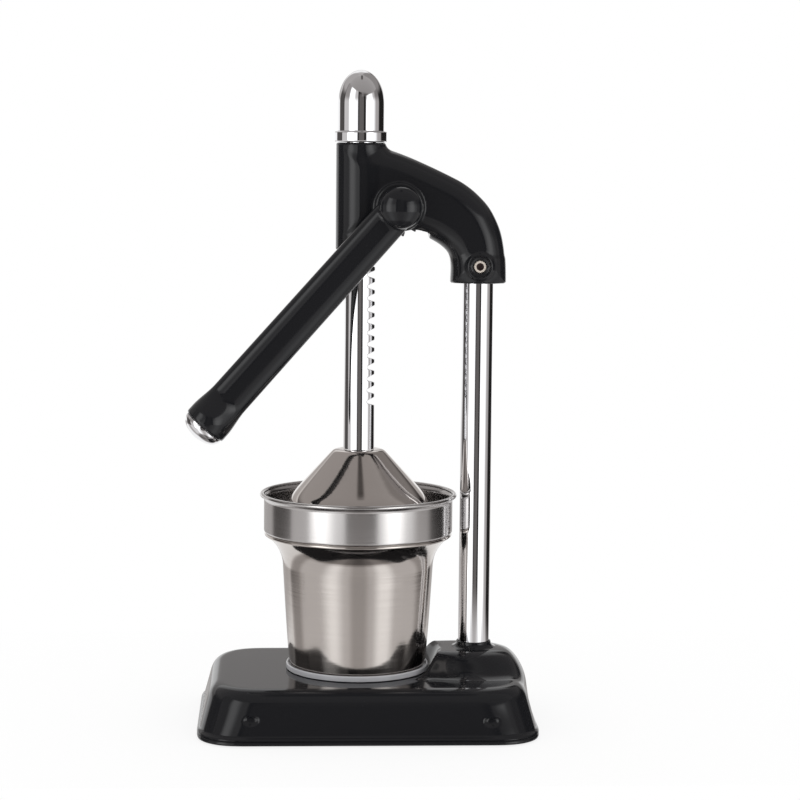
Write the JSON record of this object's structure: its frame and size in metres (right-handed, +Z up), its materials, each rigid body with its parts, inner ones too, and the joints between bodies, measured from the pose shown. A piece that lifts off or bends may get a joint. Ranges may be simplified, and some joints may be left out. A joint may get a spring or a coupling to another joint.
{
  "type": "lever citrus juice press",
  "caption": "Lever press for citrus fruit: a toothed ram driven by a pinion presses fruit on a ribbed cone in a strainer bowl, over a juice cup on a weighted base.",
  "frame": {"origin": "on the surface that the press stands on, under the common axis of ram, strainer and cup", "axes": "+Z up along the ram, +X from the ram towards the column, -Y to the front, where the lever is"},
  "size_m": [0.2147, 0.146, 0.4006],
  "materials": {
    "black_enamel": "gloss black enamel",
    "grey_plastic": "light grey, smooth",
    "black_rubber": "matt",
    "chrome": "mirror plate",
    "polished_steel": "polished stainless steel",
    "brushed_steel": "satin stainless steel, brushed round the axis",
    "gear_steel": "machined steel, oiled",
    "zinc": "zinc plated steel",
    "bronze": "sintered bronze"
  },
  "bodies": {
    "stand": {"base_shell": "black_enamel", "base_plate": "zinc", "foot_1": "black_rubber", "foot_2": "black_rubber", "foot_3": "black_rubber", "foot_4": "black_rubber", "foot_screw_1": "zinc", "foot_screw_2": "zinc", "foot_screw_3": "zinc", "foot_screw_4": "zinc", "column": "chrome", "column_plug": "zinc", "column_washer": "zinc", "column_bolt": "zinc", "cup_ring": "grey_plastic", "head_casting": "black_enamel", "column_screw": "chrome", "front_bush": "bronze", "rear_bush": "bronze"},
    "lever": {"lever_arm": "black_enamel", "hub_screw": "zinc", "hub_cap": "black_enamel", "lever_end_cap": "chrome", "pinion": "gear_steel", "pinion_shaft": "gear_steel", "pinion_key": "gear_steel", "shaft_ring": "zinc"},
    "ram": {"rack_rod": "chrome", "rod_cap": "chrome", "press_bell": "polished_steel", "bell_washer": "zinc", "bell_screw": "zinc"},
    "cup": {"juice_cup": "brushed_steel"},
    "strainer": {"strainer_bowl": "brushed_steel", "reamer_cone": "polished_steel"}
  },
  "joints": [
    {"name": "lever_hinge", "type": "hinge", "parent": "stand", "child": "lever", "pos_m": [0.023, 0, 0.31809], "axis": [0, 1, 0], "range_deg": [0, 205]},
    {"name": "ram_slide", "type": "slide", "parent": "stand", "child": "ram", "axis": [0, 0, 1], "range_m": [0, 0.0565]},
    {"name": "cup_lift", "type": "slide", "parent": "stand", "child": "cup", "axis": [0, 0, 1], "range_m": [0, 0.004]},
    {"name": "strainer_lift", "type": "slide", "parent": "cup", "child": "strainer", "axis": [0, 0, 1], "range_m": [0, 0.012]}
  ],
  "couplings": [
    {"joint": "ram_slide", "follows": "lever_hinge", "m_per_rad": 0.01575}
  ]
}
